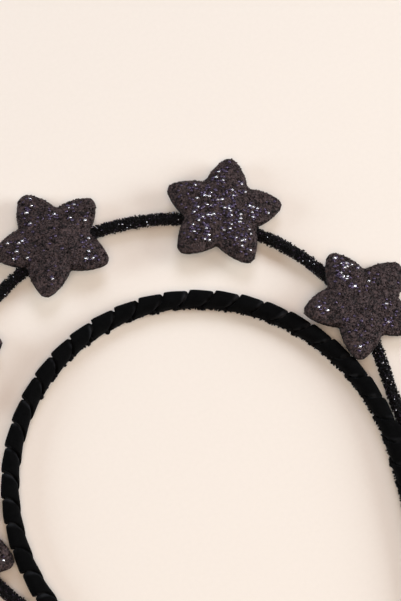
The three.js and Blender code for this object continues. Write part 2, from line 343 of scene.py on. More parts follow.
def finish_piece(obj, material, slot, *nodes):
    """Gives a piece its finish and its place on the crown, and hides the solids that it stands for."""
    obj.data.materials.clear()
    obj.data.materials.append(material)
    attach(obj, "root")
    if nodes:
        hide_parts(*nodes)


def uneven(place, seed):
    """A smooth hand-made unevenness between -1 and 1, one wave or so per unit of place."""
    place = np.asarray(place, float)
    first = math.floor(place.min())
    knots = np.random.default_rng(seed).uniform(-1, 1, math.ceil(place.max()) - first + 2)
    step = np.floor(place).astype(int) - first
    part = place - np.floor(place)
    ease = part * part * (3 - 2 * part)
    return knots[step] * (1 - ease) + knots[step + 1] * ease


def unit(vectors):
    return vectors / np.linalg.norm(vectors, axis=1)[:, None]


def run_along(line):
    """Distances along a line of points, from its first."""
    return np.concatenate([[0], np.cumsum(np.linalg.norm(np.diff(line, axis=0), axis=1))])


def follow(place, run, line):
    """Places on a line of points at these distances along it."""
    return np.column_stack([np.interp(place, run, column) for column in line.T])


def heading(place, run, line):
    """Directions of a line of points at these distances along it."""
    return unit(follow(place + TANGENT_STEP, run, line) - follow(place - TANGENT_STEP, run, line))


# Lines of the crown

def hoop_line():
    """Distances along the hoop from its top, with the places, run on past both tips."""
    turn = np.radians(np.linspace(-HOOP_BEND, HOOP_BEND, BEND_STEPS))
    bend = np.column_stack([HOOP_HALF_WIDTH * np.sin(turn), HOOP_HALF_DEPTH * np.cos(turn)])
    ahead = np.array([HOOP_HALF_WIDTH * np.cos(turn[-1]), -HOOP_HALF_DEPTH * np.sin(turn[-1])])
    ahead /= np.linalg.norm(ahead)
    inward = np.array([ahead[1], -ahead[0]])
    swing = np.linspace(0, (LEG_LENGTH + RUN_ON) / LEG_RADIUS, LEG_STEPS)[1:, None]
    right = bend[-1] + LEG_RADIUS * (ahead * np.sin(swing) + inward * (1 - np.cos(swing)))
    line = np.vstack([right[::-1] * [-1, 1], bend, right])
    run = run_along(line)
    return run - run[-1] / 2, line


LINE_RUN, LINE_PLACE = hoop_line()
HALF_LENGTH = LINE_RUN[-1] - RUN_ON


def hoop_station(along):
    """Places in plan, with the directions along the hoop and out of it."""
    along = np.asarray(along, float)
    ahead = heading(along, LINE_RUN, LINE_PLACE)
    return follow(along, LINE_RUN, LINE_PLACE), ahead, np.column_stack([-ahead[:, 1], ahead[:, 0]])


def beside_hoop(along, out, up):
    place, _, outward = hoop_station(along)
    plan = place + outward * np.asarray(out, float)[:, None]
    return np.column_stack([plan, HOOP_HEIGHT + np.asarray(up, float)]) + CROWN_CENTRE


def halo_point(turn):
    angle = np.radians(np.atleast_1d(np.asarray(turn, float)))
    rise = HALO_RISE * np.cos(angle * 90 / HALO_REACH) ** 2
    lean = HALO_LEAN * np.sin(angle * 180 / HALO_REACH)
    return np.column_stack([
        HALO_ASIDE + HALO_HALF_WIDTH * np.sin(angle),
        HALO_CENTRE + HALO_HALF_DEPTH * np.cos(angle),
        HOOP_HEIGHT + rise + lean,
    ]) + CROWN_CENTRE


def wire_line():
    """The wire's line from the left joint to the right in small steps, and its cover's radius at each."""
    joint = np.array(JOINT_ROWS)
    level = np.zeros(len(joint))
    left = beside_hoop(-joint[::-1, 0], joint[::-1, 1], level)
    right = beside_hoop(joint[:, 0], joint[:, 1], level)
    halo = halo_point(np.linspace(-HALO_BEND, HALO_BEND, HALO_STEPS + 1))
    rows = np.vstack([left, halo, right])
    cover = np.concatenate([joint[::-1, 2], np.full(len(halo), COVER_RADIUS), joint[:, 2]])
    # Knots lie apart by the root of the distance, so that the curve doesn't swing out between uneven rows
    knots = np.concatenate([[0], np.cumsum(np.linalg.norm(np.diff(rows, axis=0), axis=1) ** 0.5)])
    slope = np.gradient(rows, knots, axis=0)
    place = np.linspace(0, len(rows) - 1, (len(rows) - 1) * WIRE_STEPS + 1)
    low = np.minimum(place.astype(int), len(rows) - 2)
    part = (place - low)[:, None]
    span = (knots[low + 1] - knots[low])[:, None]
    line = (
        rows[low] * (1 + 2 * part) * (1 - part) ** 2
        + rows[low + 1] * part ** 2 * (3 - 2 * part)
        + slope[low] * span * part * (1 - part) ** 2
        + slope[low + 1] * span * part ** 2 * (part - 1)
    )
    return line, np.interp(place, np.arange(len(rows)), cover)


def swell_at(along):
    """How far the ribbon stands out over the wire's end at these places along the hoop."""
    run = [row[0] for row in JOINT_ROWS] + [SWELL_END]
    swell = [row[3] for row in JOINT_ROWS] + [0]
    return np.interp(np.abs(along), run, swell)


# Chips: the flakes, slivers and tufts that are copied many times

def chip_pattern(sides, narrow, root, foot=0.08, top=0.5):
    """A flat-topped chip about one across, with a blunt root that is sunk in what carries it."""
    bpy.ops.object.select_all(action="DESELECT")
    bpy.ops.mesh.primitive_cone_add(
        vertices=sides, radius1=foot, radius2=top, depth=root, location=(0, 0, -root / 2),
    )
    chip = bpy.context.object
    bpy.ops.object.transform_apply(location=True, rotation=True, scale=True)
    edit(chip)
    bpy.ops.transform.resize(value=(1, narrow, 1))
    done()
    return chip


def chips(name, pattern, origins, axes, tones):
    """One mesh of many copies of the pattern; each copy's faces carry its tone."""
    points = points_of(pattern)
    faces = [list(face.vertices) for face in pattern.data.polygons]
    count = len(origins)
    corners = np.concatenate(faces)
    sizes = np.array([len(face) for face in faces])
    placed = np.einsum("nij,kj->nki", axes, points) + origins[:, None, :]
    loops = (corners[None, :] + len(points) * np.arange(count)[:, None]).ravel()
    starts = np.cumsum(np.concatenate([[0], np.tile(sizes, count)[:-1]]))
    mesh = bpy.data.meshes.new(name)
    mesh.vertices.add(count * len(points))
    mesh.vertices.foreach_set("co", (placed * MM).astype(np.float32).ravel())
    mesh.loops.add(len(loops))
    mesh.loops.foreach_set("vertex_index", loops.astype(np.int32))
    mesh.polygons.add(count * len(faces))
    mesh.polygons.foreach_set("loop_start", starts.astype(np.int32))
    mesh.update(calc_edges=True)
    tone = mesh.attributes.new("tone", "FLOAT", "FACE")
    tone.data.foreach_set("value", np.repeat(tones, len(faces)).astype(np.float32))
    obj = bpy.data.objects.new(name, mesh)
    bpy.context.scene.collection.objects.link(obj)
    bpy.data.objects.remove(pattern)
    return obj


def lean_axes(rng, normals, lean_deg, size, tall):
    """Axes of chips whose tops lean off these normals by about lean_deg, each turned anyhow about its own."""
    count = len(normals)
    aside = unit(np.cross(normals, unit(rng.normal(size=(count, 3)))))
    lean = (np.radians(lean_deg) * np.abs(rng.normal(size=count)))[:, None]
    top = unit(normals * np.cos(lean) + aside * np.sin(lean))
    across = unit(np.cross(top, unit(rng.normal(size=(count, 3)))))
    beside = np.cross(top, across)
    return np.stack([across * size[:, None], beside * size[:, None], top * tall[:, None]], axis=2)


# Ribbon

def eased(wind):
    """Turns of the winding, held back on the outer side so that the seam stands square there."""
    return wind - SEAM_SQUARE / FULL_TURN * np.sin(FULL_TURN * wind)


def boxed(value):
    """Bends a sine or cosine so that the round section comes out as the ribbon's."""
    return np.sign(value) * np.abs(value) ** RIBBON_SQUARENESS


def wound(across, wind, rise, lay):
    """Places on the wound ribbon: across it from the edge that shows, in pitches, and along it in turns."""
    along = RIBBON_FIRST_SEAM + RIBBON_PITCH * (across - eased(wind))
    along = along + SEAM_WANDER * uneven(along / RIBBON_PITCH / SEAM_WANDER_WAVE, SEAM_WANDER_SEED)
    angle = FULL_TURN * wind
    swell = np.where(np.cos(angle) > 0, swell_at(along), 0)
    loose = np.clip((HALF_LENGTH - RIBBON_SHORT_OF_TIP - np.abs(along)) / TIP_TAPER, 0, 1)
    wide = RIBBON_HALF_WIDE - TIP_HUG_WIDE * (1 - loose)
    tall = RIBBON_HALF_TALL - TIP_HUG_TALL * (1 - loose)
    out = (wide + rise + swell) * boxed(np.cos(angle))
    up = (tall + rise) * boxed(np.sin(angle))
    return beside_hoop(along, out, np.maximum(up, lay - HOOP_HEIGHT))


def ribbon_piece():
    """A flat strip of ribbon, wound on the hoop, trimmed at both tips and given its thickness."""
    turns = 2 * (math.ceil(HALF_LENGTH / RIBBON_PITCH) + RIBBON_SPARE_TURNS)
    table = np.array(RIBBON_ROWS)
    strips = len(table) - 1
    bpy.ops.object.select_all(action="DESELECT")
    bpy.ops.mesh.primitive_grid_add(
        x_subdivisions=strips, y_subdivisions=turns * RIBBON_STEPS_PER_TURN, size=1,
    )
    ribbon = bpy.context.object
    ribbon.name = ribbon.data.name = "velvet_ribbon"
    flat = points_of(ribbon)
    column = np.rint((flat[:, 0] + 0.5) * strips).astype(int)
    across, rise, lay = table[column].T
    wind = flat[:, 1] * turns
    near_edge = np.clip(1 - across / EDGE_LIFT_REACH, 0, 1)
    rise = rise + EDGE_LIFT * near_edge * uneven(wind * EDGE_LIFT_WAVES, EDGE_LIFT_SEED)
    corners = np.empty(len(ribbon.data.loops), np.int32)
    ribbon.data.loops.foreach_get("vertex_index", corners)
    spread = np.column_stack([across * RIBBON_PITCH, wind * RIBBON_TURN_LENGTH])[corners]
    ribbon.data.uv_layers.active.data.foreach_set("uv", spread.astype(np.float32).ravel())
    set_points(ribbon, wound(across, wind, rise, lay) * MM)
    edit(ribbon)
    bpy.ops.mesh.flip_normals()
    done()
    for side in (-1, 1):
        trim(ribbon, side)
    wall = ribbon.modifiers.new("thickness", "SOLIDIFY")
    wall.thickness = RIBBON_THICK * MM
    wall.offset = -1
    apply_modifiers(ribbon)
    bpy.ops.object.shade_smooth_by_angle(angle=math.radians(RIBBON_CREASE))
    return ribbon


def trim(ribbon, side):
    """Cuts the ribbon square across the hoop near one tip and clears what lies beyond."""
    place, ahead, _ = hoop_station([side * (HALF_LENGTH - RIBBON_SHORT_OF_TIP)])
    middle = np.append(place[0], 0) + CROWN_CENTRE
    half = (points_of(ribbon)[:, 0] / MM - CROWN_CENTRE[0]) * side > 0
    edit(ribbon, "DESELECT")
    done()
    ribbon.data.vertices.foreach_set("select", half)
    bpy.ops.object.mode_set(mode="EDIT")
    bpy.ops.mesh.select_mode(type="VERT")
    bpy.ops.mesh.bisect(
        plane_co=tuple(middle * MM), plane_no=(side * ahead[0, 0], side * ahead[0, 1], 0), clear_outer=True,
    )
    done()


def tuft_rows(rng):
    """Each tuft's place along the hoop, its width and how far it stands out."""
    seams = math.ceil(HALF_LENGTH / RIBBON_PITCH)
    seam = np.repeat(np.arange(-seams, seams), TUFTS_PER_SEAM) + 0.5
    along = RIBBON_FIRST_SEAM + RIBBON_PITCH * seam
    along = along + RIBBON_PITCH * rng.normal(*SEAM_TUFT_SHIFT, len(along))
    along = along[along > SEAM_TUFTS_FROM]
    wide = rng.uniform(*SEAM_TUFT_WIDE, len(along))
    stand = rng.uniform(*SEAM_TUFT_STAND, len(along))
    rows = [np.column_stack([along, wide, stand])]
    for low, high, gap, row_wide, row_stand in TUFT_STRETCHES:
        count = int((high - low) / gap)
        along = low + gap * (np.arange(count) + rng.uniform(*TUFT_GAP_VARY, count))
        wide = row_wide * rng.uniform(*TUFT_WIDE_VARY, count)
        stand = row_stand * rng.uniform(*TUFT_STAND_VARY, count)
        rows.append(np.column_stack([along, wide, stand]))
    rows = np.vstack(rows)
    reach = HALF_LENGTH - RIBBON_SHORT_OF_TIP - TUFTS_SHORT_OF_RIBBON
    return rows[np.abs(rows[:, 0]) < reach].T


def selvedge_piece():
    """Tufts of cut pile along the inner side of the hoop: some at each seam's end, and close rows over the
    top and down the right leg."""
    rng = np.random.default_rng(TUFT_SEED)
    along, wide, stand = tuft_rows(rng)
    count = len(along)
    angle = math.pi + np.clip(rng.normal(*TUFT_DROOP, count), -TUFT_DROOP_MOST, TUFT_DROOP_MOST)
    turn = angle / FULL_TURN
    lie = (along - RIBBON_FIRST_SEAM) / RIBBON_PITCH + eased(turn)
    across = lie % 1
    table = np.array(RIBBON_ROWS)
    rise, lay = (np.interp(across, table[:, 0], table[:, i]) for i in (1, 2))
    root = wound(across, turn - np.floor(lie), np.maximum(rise, TUFT_ROOT_RISE), lay)
    _, _, outward = hoop_station(along)
    radial = np.column_stack([outward * np.cos(angle)[:, None], np.sin(angle)])
    origins = root + radial * stand[:, None]
    axes = lean_axes(rng, radial, TUFT_LEAN, wide, np.full(count, TUFT_TALL))
    return chips("selvedge_tufts", chip_pattern(**TUFT_CHIP), origins, axes, rng.random(count))


# Wire

def wire_core(line, cover):
    """The bed under the slivers: a round bar along the wire's line, made a mesh and roughened."""
    curve = bpy.data.curves.new("wire_core", "CURVE")
    curve.dimensions = "3D"
    curve.bevel_depth = MM
    curve.bevel_resolution = WIRE_BEVEL
    curve.use_fill_caps = True
    spline = curve.splines.new("POLY")
    spline.points.add(len(line) - 1)
    spline.points.foreach_set("co", np.column_stack([line * MM, np.ones(len(line))]).ravel())
    spline.points.foreach_set("radius", cover - FLAKE_BED)
    core = bpy.data.objects.new("wire_core", curve)
    bpy.context.scene.collection.objects.link(core)
    only(core)
    bpy.ops.object.convert(target="MESH")
    core = bpy.context.object
    edit(core)
    bpy.ops.mesh.remove_doubles(threshold=WIRE_MERGE * MM)
    bpy.ops.mesh.normals_make_consistent(inside=False)
    done()
    lumps(core, "wire_lumps", *WIRE_LUMPS)
    bpy.ops.object.shade_smooth()
    return core


def wire_flakes(line, cover):
    """Short black slivers all round the wire, standing every way, and a few bright ones on its upper side."""
    rng = np.random.default_rng(SLIVER_SEED)
    count = WIRE_FLAKES
    run = run_along(line)
    full = cover > FLAKES_FROM_COVER
    place = rng.uniform(run[full][0], run[full][-1], count)
    centre = follow(place, run, line)
    ahead = heading(place, run, line)
    beside = unit(np.cross([0, 0, 1], ahead))
    above = np.cross(ahead, beside)
    turn = rng.uniform(0, FULL_TURN, count)[:, None]
    radial = beside * np.cos(turn) + above * np.sin(turn)
    size = rng.uniform(*SLIVER_SIZE, count)
    radius = np.interp(place, run, cover) - FLAKE_BED + rng.uniform(*SLIVER_STAND, count)
    radius += STRAY_STAND * np.abs(rng.normal(size=count)) * (rng.random(count) < STRAY_SHARE)
    bright = (rng.random(count) < WIRE_SPARKLES) & (radial[:, 2] > WIRE_SPARKLES_FROM)
    radius[bright] += FLAKE_BED
    origins = centre + radial * radius[:, None]
    upright = np.where(bright[:, None], SPARKLE_TOWARD, radial)
    lean = np.where(bright, SPARKLE_LEAN, WIRE_LEAN)
    axes = lean_axes(rng, upright, lean, size, np.full(count, SLIVER_TALL))
    tones = np.where(bright, 1, SLIVER_TONES * rng.random(count))
    clear = origins[:, 2] > FLOOR_CLEAR
    return chips("wire_flakes", chip_pattern(**SLIVER_CHIP), origins[clear], axes[clear], tones[clear])


# Stars

def star_outline():
    """The star's outline: one arm of three curves, up a side, over the tip and down again, turned round."""
    half = math.pi / ARMS
    notch = np.array([NOTCH_RADIUS * math.cos(half), NOTCH_RADIUS * math.sin(half)])
    shoulder = np.array([SHOULDER_OUT, SHOULDER_ASIDE])
    side = shoulder - notch
    outward = np.array([-side[1], side[0]]) / np.linalg.norm(side)
    bulge = (notch + shoulder) / 2 + outward * 2 * SIDE_BULGE
    tip = SHOULDER_OUT + SHOULDER_ASIDE * (shoulder[0] - bulge[0]) / (bulge[1] - shoulder[1])
    flip = np.array([1, -1])
    curves = (
        (notch * flip, bulge * flip, shoulder * flip),
        (shoulder * flip, np.array([tip, 0]), shoulder),
        (shoulder, bulge, notch),
    )
    part = (np.arange(STEPS_PER_CURVE) / STEPS_PER_CURVE)[:, None]
    arm = np.vstack([a * (1 - part) ** 2 + 2 * b * part * (1 - part) + c * part ** 2 for a, b, c in curves])
    arms = []
    for number in range(ARMS):
        turn = 2 * half * number
        across, up = math.cos(turn), math.sin(turn)
        arms.append(arm @ np.array([[across, up], [-up, across]]))
    return np.vstack(arms)


def star_pattern():
    """A star pad at the origin: its outline raised ring by ring to a low dome, then stuffed."""
    outline = star_outline()
    bpy.ops.object.select_all(action="DESELECT")
    bpy.ops.mesh.primitive_circle_add(
        vertices=len(outline), radius=NOTCH_RADIUS * PAD_SCALE, fill_type="NGON",
    )
    star = bpy.context.object
    base = outline * STAR_ROWS[0][0] * PAD_GROW * PAD_SCALE
    set_points(star, np.column_stack([base, np.zeros(len(outline))]))
    edit(star)
    bpy.ops.mesh.normals_make_consistent(inside=False)
    for (scale, lift), (next_scale, next_lift) in zip(STAR_ROWS, STAR_ROWS[1:]):
        bpy.ops.mesh.extrude_region_move(
            TRANSFORM_OT_translate={"value": (0, 0, (next_lift - lift) * PAD_SCALE)},
        )
        grow = next_scale / scale
        bpy.ops.transform.resize(value=(grow, grow, 1), center_override=(0, 0, 0))
    bpy.ops.mesh.poke(offset=0)
    bpy.ops.mesh.select_all(action="SELECT")
    bpy.ops.mesh.normals_make_consistent(inside=False)
    done()
    grain = star.modifiers.new("even_faces", "REMESH")
    grain.mode = "VOXEL"
    grain.voxel_size = PAD_VOXEL * PAD_SCALE
    apply_modifiers(star)
    stuff(star)
    finer = star.modifiers.new("finer", "SUBSURF")
    finer.levels = finer.render_levels = 1
    apply_modifiers(star)
    set_points(star, points_of(star) / PAD_SCALE)
    return star


def stuff(pad):
    """Swells the pad as its stuffing does, by no more than PAD_SWELL anywhere."""
    scene = bpy.context.scene
    rest = points_of(pad)
    cloth = pad.modifiers.new("stuffing", "CLOTH")
    cloth.settings.use_pressure = True
    cloth.settings.uniform_pressure_force = STUFFING_PRESSURE
    cloth.settings.effector_weights.gravity = 0
    for step in range(STUFFING_STEPS):
        scene.frame_set(step + 1)
    apply_modifiers(pad)
    scene.frame_set(1)
    moved = points_of(pad) - rest
    far = np.linalg.norm(moved, axis=1)
    most = PAD_SWELL * PAD_SCALE
    set_points(pad, rest + moved * np.minimum(1, most / np.maximum(far, TINY))[:, None])


def star_seat(row):
    """The star's own frame on the wire, as a 4 by 4 matrix in millimetres."""
    _, turn, out, spin, roll, pitch = row
    before, after = halo_point([turn - SEAT_STEP, turn + SEAT_STEP])
    outward = math.atan2(after[0] - before[0], before[1] - after[1])
    wire = halo_point(turn)[0]
    place = Matrix.Translation((wire[0], wire[1], wire[2] + COVER_RADIUS - BED_DEPTH))
    tilt = Euler((math.radians(pitch), math.radians(roll), outward), "XYZ").to_matrix().to_4x4()
    return place @ tilt @ Matrix.Translation((out, 0, 0)) @ Matrix.Rotation(math.radians(spin), 4, "Z")


def star_pad(pattern, row, line):
    """A copy of the pattern on its seat, pressed in at the back where the wire beds, with a lumpy face."""
    name = row[0]
    pad = copy_of(pattern, name + "_pad")
    seat = np.array(star_seat(row))
    own = points_of(pad)
    placed = own @ seat[:3, :3].T + seat[:3, 3]
    near = np.array([np.argmin(((line - point) ** 2).sum(1)) for point in placed])
    away = placed - line[near]
    up = seat[:3, 2]
    height = away @ up
    inside = (COVER_RADIUS + BED_ROOM) ** 2 - (away ** 2).sum(1)
    pressed = (inside > 0) & (own[:, 2] < BED_BELOW)
    push = np.where(pressed, np.sqrt(np.maximum(height ** 2 + inside, 0)) - height, 0)
    set_points(pad, (placed + push[:, None] * up) * MM)
    facing = np.empty(len(own) * 3, np.float32)
    pad.data.vertices.foreach_get("normal", facing)
    facing = facing.reshape(-1, 3) @ up
    face = pad.vertex_groups.new(name="face")
    for index, amount in enumerate(np.clip((facing - FACE_FROM) / FACE_FADE, 0, 1)):
        face.add([index], amount, "REPLACE")
    lumps(pad, name + "_lumps", *STAR_LUMPS, "face")
    lumps(pad, name + "_crumbs", *STAR_CRUMBS, "face")
    bpy.ops.object.shade_smooth()
    # How far the pad faces sideways, where its walls get painted shade
    wall = np.clip((WALL_FROM - facing) / WALL_FADE, 0, 1)
    pad.data.attributes.new("wall", "FLOAT", "POINT").data.foreach_set("value", wall.astype(np.float32))
    return pad


def pad_faces(pad, seat):
    """Corners, outward normals and areas of the triangles on a pad that carry glitter."""
    mesh = pad.data
    mesh.calc_loop_triangles()
    index = np.empty(len(mesh.loop_triangles) * 3, np.int32)
    mesh.loop_triangles.foreach_get("vertices", index)
    corners = (points_of(pad) / MM)[index.reshape(-1, 3)]
    cross = np.cross(corners[:, 1] - corners[:, 0], corners[:, 2] - corners[:, 0])
    area = np.linalg.norm(cross, axis=1) / 2
    normals = cross / np.maximum(2 * area, TINY)[:, None]
    shows = normals @ seat[:3, 2] > GLITTER_FROM
    return corners[shows], normals[shows], area[shows]


def on_faces(rng, corners, weights, count):
    """Random places on triangles, with the triangle of each."""
    pick = rng.choice(len(corners), count, p=weights / weights.sum())
    a = np.sqrt(rng.random(count))
    b = rng.random(count)
    share = np.column_stack([1 - a, a * (1 - b), a * b])
    return (corners[pick] * share[:, :, None]).sum(1), pick


def star_flakes(pad, row, seed):
    """Dark glitter flakes in clumps over a star's face, a few bright ones, and violet ones beside those."""
    rng = np.random.default_rng(seed)
    seat = np.array(star_seat(row))
    corners, normals, area = pad_faces(pad, seat)
    count, patch_x, patch_y, patch_reach, to_arms = SPARKLES[row[0]]
    middles = corners.mean(1)
    own = (middles - seat[:3, 3]) @ seat[:3, :3]
    gather = np.exp(-((own[:, 0] - patch_x) ** 2 + (own[:, 1] - patch_y) ** 2) / (2 * patch_reach ** 2))
    arms = (np.hypot(own[:, 0], own[:, 1]) / NOTCH_RADIUS) ** 2
    from_edge = np.sqrt(((own[:, None, :2] - star_outline()[None]) ** 2).sum(2).min(1))
    level = area * (normals @ seat[:3, 2] > SPARKLE_FLAT) * (from_edge > SPARKLE_INSET)
    dark, dark_on = on_faces(rng, corners, area, SMALL_FLAKES)
    wanted = gather * (1 - to_arms) + arms * to_arms + SPARKLE_LOOSE
    bright, _ = on_faces(rng, corners, level * wanted, count)
    near = np.sqrt(((middles[:, None] - bright[None]) ** 2).sum(2).min(1))
    beside = np.exp(-(near / VIOLET_NEAR) ** 2) + VIOLET_LOOSE
    violet, _ = on_faces(rng, corners, level * beside, count * VIOLET_PER_SPARKLE)
    clump = dark[rng.choice(SMALL_FLAKES, CLUMPS, replace=False)]
    of_clump = ((dark[:, None] - clump[None]) ** 2).sum(2).argmin(1)
    clump_shade = CLUMP_SHARE * rng.random(CLUMPS)[of_clump]
    shade = (clump_shade + (1 - CLUMP_SHARE) * rng.random(SMALL_FLAKES)) ** SHADE_BIAS
    kinds = np.repeat(FLAKE_KINDS, (SMALL_FLAKES, len(violet), count), axis=0)
    least_size, most_size, least_lift, most_lift, lean, tall, tones = kinds.T
    upright = np.vstack([normals[dark_on], np.tile(SPARKLE_TOWARD, (len(violet) + count, 1))])
    size = rng.uniform(least_size, most_size)
    lift = rng.uniform(least_lift, most_lift)
    tones[:SMALL_FLAKES] *= shade
    axes = lean_axes(rng, upright, lean, size, tall)
    places = np.vstack([dark, violet, bright]) + upright * lift[:, None]
    return chips(row[0] + "_glitter", chip_pattern(**FLAKE_CHIP), places, axes, tones)


# Finishes

def node_group(name, inputs, outputs):
    group = bpy.data.node_groups.new(name, "ShaderNodeTree")
    for label, kind, value in inputs:
        group.interface.new_socket(label, in_out="INPUT", socket_type=kind).default_value = value
    for label, kind in outputs:
        group.interface.new_socket(label, in_out="OUTPUT", socket_type=kind)
    return group, group.nodes.new("NodeGroupInput"), group.nodes.new("NodeGroupOutput")


def mottle_group():
    """Soft patches between two colours with a fine grain over them, and the grain's height. A small spread
    parts the two colours sharply."""
    group, given, made = node_group(
        "mottle",
        [("Patch Scale", "NodeSocketFloat", 100), ("Grain Scale", "NodeSocketFloat", 1500),
         ("Spread", "NodeSocketFloat", 0.25),
         ("Dark", "NodeSocketColor", (0, 0, 0, 1)), ("Light", "NodeSocketColor", (1, 1, 1, 1))],
        [("Color", "NodeSocketColor"), ("Height", "NodeSocketFloat")],
    )
    nodes, links = group.nodes, group.links
    place = nodes.new("ShaderNodeTexCoord")
    patch = nodes.new("ShaderNodeTexNoise")
    grain = nodes.new("ShaderNodeTexNoise")
    both = nodes.new("ShaderNodeMath")
    both.operation = "MULTIPLY_ADD"
    both.inputs[1].default_value = PATCH_SHARE
    lowest = nodes.new("ShaderNodeMath")
    lowest.operation = "SUBTRACT"
    highest = nodes.new("ShaderNodeMath")
    highest.operation = "ADD"
    for end in (lowest, highest):
        end.inputs[0].default_value = MOTTLE_MIDDLE
        links.new(given.outputs["Spread"], end.inputs[1])
    spread = nodes.new("ShaderNodeMapRange")
    links.new(lowest.outputs[0], spread.inputs["From Min"])
    links.new(highest.outputs[0], spread.inputs["From Max"])
    blend = nodes.new("ShaderNodeMix")
    blend.data_type = "RGBA"
    links.new(place.outputs["Object"], patch.inputs["Vector"])
    links.new(place.outputs["Object"], grain.inputs["Vector"])
    links.new(given.outputs["Patch Scale"], patch.inputs["Scale"])
    links.new(given.outputs["Grain Scale"], grain.inputs["Scale"])
    links.new(patch.outputs["Fac"], both.inputs[0])
    links.new(grain.outputs["Fac"], both.inputs[2])
    links.new(both.outputs[0], spread.inputs["Value"])
    links.new(spread.outputs["Result"], blend.inputs["Factor"])
    links.new(given.outputs["Dark"], blend.inputs["A"])
    links.new(given.outputs["Light"], blend.inputs["B"])
    links.new(blend.outputs["Result"], made.inputs["Color"])
    links.new(grain.outputs["Fac"], made.inputs["Height"])
    return group


def tones_group():
    """A chip's colour and roughness from the tone that it carries: dark, tinted or bright."""
    group, given, made = node_group(
        "chip_tones",
        [("Dark", "NodeSocketColor", (0, 0, 0, 1)), ("Middle", "NodeSocketColor", (0.1, 0.1, 0.1, 1)),
         ("Tint", "NodeSocketColor", (0.1, 0.1, 0.3, 1)), ("Bright", "NodeSocketColor", (1, 1, 1, 1)),
         ("Tint From", "NodeSocketFloat", 0.8), ("Bright From", "NodeSocketFloat", 0.93)],
        [("Color", "NodeSocketColor"), ("Roughness", "NodeSocketFloat")],
    )
    nodes, links = group.nodes, group.links
    tone = nodes.new("ShaderNodeAttribute")
    tone.attribute_name = "tone"
    shade = nodes.new("ShaderNodeMapRange")
    body = nodes.new("ShaderNodeMix")
    tinted = nodes.new("ShaderNodeMix")
    lit = nodes.new("ShaderNodeMix")
    for mix in (body, tinted, lit):
        mix.data_type = "RGBA"
    is_tint = nodes.new("ShaderNodeMath")
    is_bright = nodes.new("ShaderNodeMath")
    for test in (is_tint, is_bright):
        test.operation = "GREATER_THAN"
    gloss = nodes.new("ShaderNodeMapRange")
    gloss.inputs["To Min"].default_value = CHIP_ROUGH
    gloss.inputs["To Max"].default_value = CHIP_GLOSS
    links.new(tone.outputs["Fac"], shade.inputs["Value"])
    links.new(given.outputs["Tint From"], shade.inputs["From Max"])
    links.new(shade.outputs["Result"], body.inputs["Factor"])
    links.new(given.outputs["Dark"], body.inputs["A"])
    links.new(given.outputs["Middle"], body.inputs["B"])
    links.new(tone.outputs["Fac"], is_tint.inputs[0])
    links.new(given.outputs["Tint From"], is_tint.inputs[1])
    links.new(tone.outputs["Fac"], is_bright.inputs[0])
    links.new(given.outputs["Bright From"], is_bright.inputs[1])
    links.new(is_tint.outputs[0], tinted.inputs["Factor"])
    links.new(body.outputs["Result"], tinted.inputs["A"])
    links.new(given.outputs["Tint"], tinted.inputs["B"])
    links.new(is_bright.outputs[0], lit.inputs["Factor"])
    links.new(tinted.outputs["Result"], lit.inputs["A"])
    links.new(given.outputs["Bright"], lit.inputs["B"])
    links.new(lit.outputs["Result"], made.inputs["Color"])
    links.new(given.outputs["Tint From"], gloss.inputs["From Min"])
    links.new(given.outputs["Bright From"], gloss.inputs["From Max"])
    links.new(tone.outputs["Fac"], gloss.inputs["Value"])
    links.new(gloss.outputs["Result"], made.inputs["Roughness"])
    return group


MOTTLE = mottle_group()
TONES = tones_group()


def finish(name, **sockets):
    """A new material, its tree and its surface, with the surface's even values set."""
    material = bpy.data.materials.new(name)
    material.use_nodes = True
    surface = material.node_tree.nodes["Principled BSDF"]
    for label, value in sockets.items():
        surface.inputs[label.replace("_", " ")].default_value = value
    return material, material.node_tree, surface


def mottled(name, dark, light, patch, grain, bump, depth, spread=0.25, **sockets):
    """A material with patches, grain and the grain's relief, its scales in waves per metre."""
    material, tree, surface = finish(name, **sockets)
    mottle = tree.nodes.new("ShaderNodeGroup")
    mottle.node_tree = MOTTLE
    mottle.inputs["Patch Scale"].default_value = patch
    mottle.inputs["Grain Scale"].default_value = grain
    mottle.inputs["Spread"].default_value = spread
    mottle.inputs["Dark"].default_value = (*dark, 1)
    mottle.inputs["Light"].default_value = (*light, 1)
    relief = tree.nodes.new("ShaderNodeBump")
    relief.inputs["Strength"].default_value = bump
    relief.inputs["Distance"].default_value = depth * MM
    tree.links.new(mottle.outputs["Color"], surface.inputs["Base Color"])
    tree.links.new(mottle.outputs["Height"], relief.inputs["Height"])
    tree.links.new(relief.outputs["Normal"], surface.inputs["Normal"])
    return material


def chipped(name, dark, middle, tint, bright, tint_from, bright_from, **sockets):
    """A material for chips: dark to middle by tone, tinted from one tone on and bright from another."""
    material, tree, surface = finish(name, **sockets)
    tones = tree.nodes.new("ShaderNodeGroup")
    tones.node_tree = TONES
    for label, colour in (("Dark", dark), ("Middle", middle), ("Tint", tint), ("Bright", bright)):
        tones.inputs[label].default_value = (*colour, 1)
    tones.inputs["Tint From"].default_value = tint_from
    tones.inputs["Bright From"].default_value = bright_from
    tree.links.new(tones.outputs["Color"], surface.inputs["Base Color"])
    tree.links.new(tones.outputs["Roughness"], surface.inputs["Roughness"])
    return material


def blend_in(material, factor, colour):
    """Mixes another colour into a material's base where the factor is high."""
    tree = material.node_tree
    base = tree.nodes["Principled BSDF"].inputs["Base Color"]
    under = base.links[0].from_socket
    mix = tree.nodes.new("ShaderNodeMix")
    mix.data_type = "RGBA"
    mix.inputs["B"].default_value = (*colour, 1)
    tree.links.new(factor, mix.inputs["Factor"])
    tree.links.new(under, mix.inputs["A"])
    tree.links.new(mix.outputs["Result"], base)


